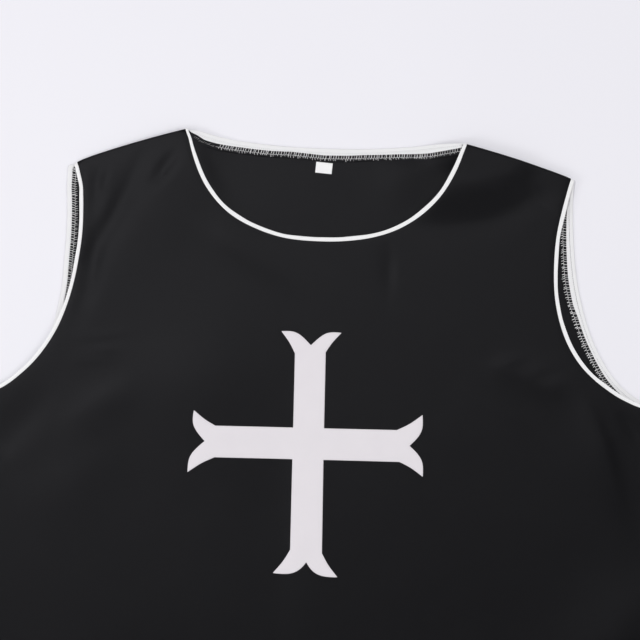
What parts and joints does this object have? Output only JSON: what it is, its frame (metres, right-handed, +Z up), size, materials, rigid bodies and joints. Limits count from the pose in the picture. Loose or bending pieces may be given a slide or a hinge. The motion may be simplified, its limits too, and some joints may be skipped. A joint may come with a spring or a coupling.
{
  "type": "sleeveless surcoat",
  "caption": "Black sleeveless pull-on surcoat laid flat, front up, with narrow white binding at neck and armholes and a pale cross with forked ends on the chest.",
  "frame": {"origin": "middle of the bounding box at the surface the garment lies on", "axes": "+Z up from the surface, +Y from the hem to the collar, +X to the right seen from above"},
  "size_m": [0.7, 1.002, 0.0068],
  "materials": {
    "black_cloth": "matt black plain-woven polyester",
    "white_binding": "white folded woven strip",
    "overlocked_edge": "black cloth edge with white overlock thread",
    "pale_applique": "pale smooth woven cloth",
    "white_tag": "bare white woven tape"
  },
  "bodies": {
    "root": {"back_panel": "black_cloth", "front_panel": "black_cloth", "neck_binding_front": "white_binding", "neck_binding_back": "white_binding", "armhole_binding_front_left": "white_binding", "armhole_binding_front_right": "white_binding", "armhole_binding_back_left": "white_binding", "armhole_binding_back_right": "white_binding", "neck_seam_allowance_back": "overlocked_edge", "armhole_seam_allowance_back_left": "overlocked_edge", "armhole_seam_allowance_back_right": "overlocked_edge", "cross_applique": "pale_applique", "size_label": "white_tag"}
  },
  "joints": []
}
